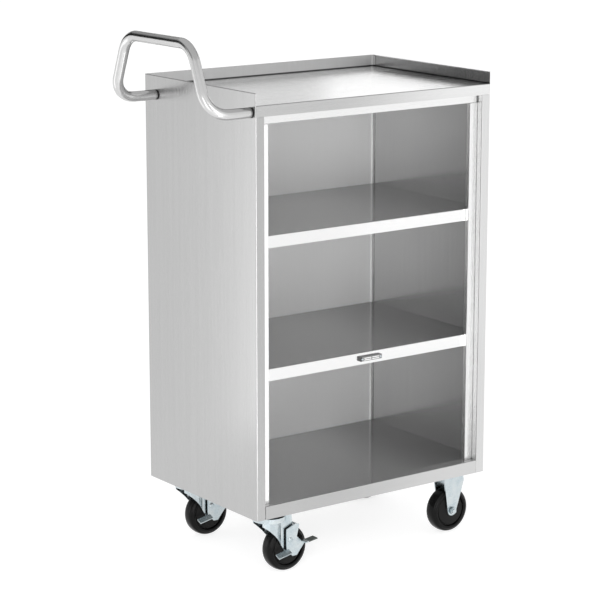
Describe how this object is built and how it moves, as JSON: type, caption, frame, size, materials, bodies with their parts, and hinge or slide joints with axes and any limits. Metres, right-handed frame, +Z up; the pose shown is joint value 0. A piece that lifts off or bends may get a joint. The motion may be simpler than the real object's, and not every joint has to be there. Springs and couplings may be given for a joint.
{
  "type": "stainless steel utility cart",
  "caption": "Open-front stainless cabinet cart with fixed shelves, a guarded worktop, a bent tube push handle, braked swivel casters at the handle end and rigid casters at the other.",
  "frame": {"origin": "on the floor, under the middle of the whole cart, push handle included", "axes": "+Z up, +X to the right as seen by someone facing the open front, -Y out of the open front; the push handle is at the -X end"},
  "size_m": [0.7349, 0.411, 1.1481],
  "materials": {
    "stainless": "brushed stainless sheet, number 4 grain",
    "polished_tube": "polished stainless tube",
    "zinc": "bright bluish zinc plating",
    "black_rubber": "smooth black rubber",
    "grey_plastic": "dark grey moulded plastic",
    "black_plastic": "black plastic",
    "magnet": "plated magnet faces"
  },
  "bodies": {
    "root": {"left_side_panel": "stainless", "right_side_panel": "stainless", "back_panel": "stainless", "worktop": "stainless", "floor_pan": "stainless", "upper_shelf": "stainless", "lower_shelf": "stainless", "inner_stile_left": "stainless", "inner_stile_right": "stainless", "inner_top_rail": "stainless", "caster_channel_left": "stainless", "caster_channel_right": "stainless", "push_handle": "polished_tube", "handle_spacer_front": "black_plastic", "handle_bolt_front": "zinc", "handle_washer_front": "zinc", "handle_spacer_rear": "black_plastic", "handle_bolt_rear": "zinc", "handle_washer_rear": "zinc", "catch_housing": "grey_plastic", "catch_magnet_left": "magnet", "catch_screw_left": "zinc", "catch_magnet_right": "magnet", "catch_screw_right": "zinc", "swivel_plate_front": "zinc", "kingpin_front": "zinc", "ball_ring_front": "zinc", "rigid_fork_front": "zinc", "axle_sleeve_rigid_front": "zinc", "axle_bolt_rigid_front": "zinc", "axle_nut_rigid_front": "zinc", "swivel_plate_rear": "zinc", "kingpin_rear": "zinc", "ball_ring_rear": "zinc", "rigid_fork_rear": "zinc", "axle_sleeve_rigid_rear": "zinc", "axle_bolt_rigid_rear": "zinc", "axle_nut_rigid_rear": "zinc"},
    "swivel_front": {"swivel_fork_front": "zinc", "brake_pin_front": "zinc", "axle_sleeve_swivel_front": "zinc", "axle_bolt_swivel_front": "zinc", "axle_nut_swivel_front": "zinc"},
    "wheel_swivel_front": {"tyre_swivel_front": "black_rubber", "hub_swivel_front": "grey_plastic"},
    "wheel_rigid_front": {"tyre_rigid_front": "black_rubber", "hub_rigid_front": "grey_plastic"},
    "brake_front": {"brake_lever_front": "zinc"},
    "swivel_rear": {"swivel_fork_rear": "zinc", "brake_pin_rear": "zinc", "axle_sleeve_swivel_rear": "zinc", "axle_bolt_swivel_rear": "zinc", "axle_nut_swivel_rear": "zinc"},
    "wheel_swivel_rear": {"tyre_swivel_rear": "black_rubber", "hub_swivel_rear": "grey_plastic"},
    "wheel_rigid_rear": {"tyre_rigid_rear": "black_rubber", "hub_rigid_rear": "grey_plastic"},
    "brake_rear": {"brake_lever_rear": "zinc"}
  },
  "joints": [
    {"name": "swivel_front_turn", "type": "hinge", "parent": "root", "child": "swivel_front", "pos_m": [-0.18295, -0.15, 0.131], "axis": [0, 0, 1], "continuous": true},
    {"name": "wheel_swivel_front_spin", "type": "hinge", "parent": "swivel_front", "child": "wheel_swivel_front", "pos_m": [-0.14395, -0.15, 0.0508], "axis": [0, 1, 0], "continuous": true},
    {"name": "brake_front_tip", "type": "hinge", "parent": "swivel_front", "child": "brake_front", "pos_m": [-0.14595, -0.175, 0.0728], "axis": [0, 1, 0], "range_deg": [0, 15]},
    {"name": "wheel_rigid_front_spin", "type": "hinge", "parent": "root", "child": "wheel_rigid_front", "pos_m": [0.30805, -0.15, 0.0508], "axis": [0, 1, 0], "continuous": true},
    {"name": "swivel_rear_turn", "type": "hinge", "parent": "root", "child": "swivel_rear", "pos_m": [-0.18295, 0.15, 0.131], "axis": [0, 0, 1], "continuous": true},
    {"name": "wheel_swivel_rear_spin", "type": "hinge", "parent": "swivel_rear", "child": "wheel_swivel_rear", "pos_m": [-0.14395, 0.15, 0.0508], "axis": [0, 1, 0], "continuous": true},
    {"name": "brake_rear_tip", "type": "hinge", "parent": "swivel_rear", "child": "brake_rear", "pos_m": [-0.14595, 0.125, 0.0728], "axis": [0, 1, 0], "range_deg": [0, 15]},
    {"name": "wheel_rigid_rear_spin", "type": "hinge", "parent": "root", "child": "wheel_rigid_rear", "pos_m": [0.30805, 0.15, 0.0508], "axis": [0, 1, 0], "continuous": true}
  ]
}
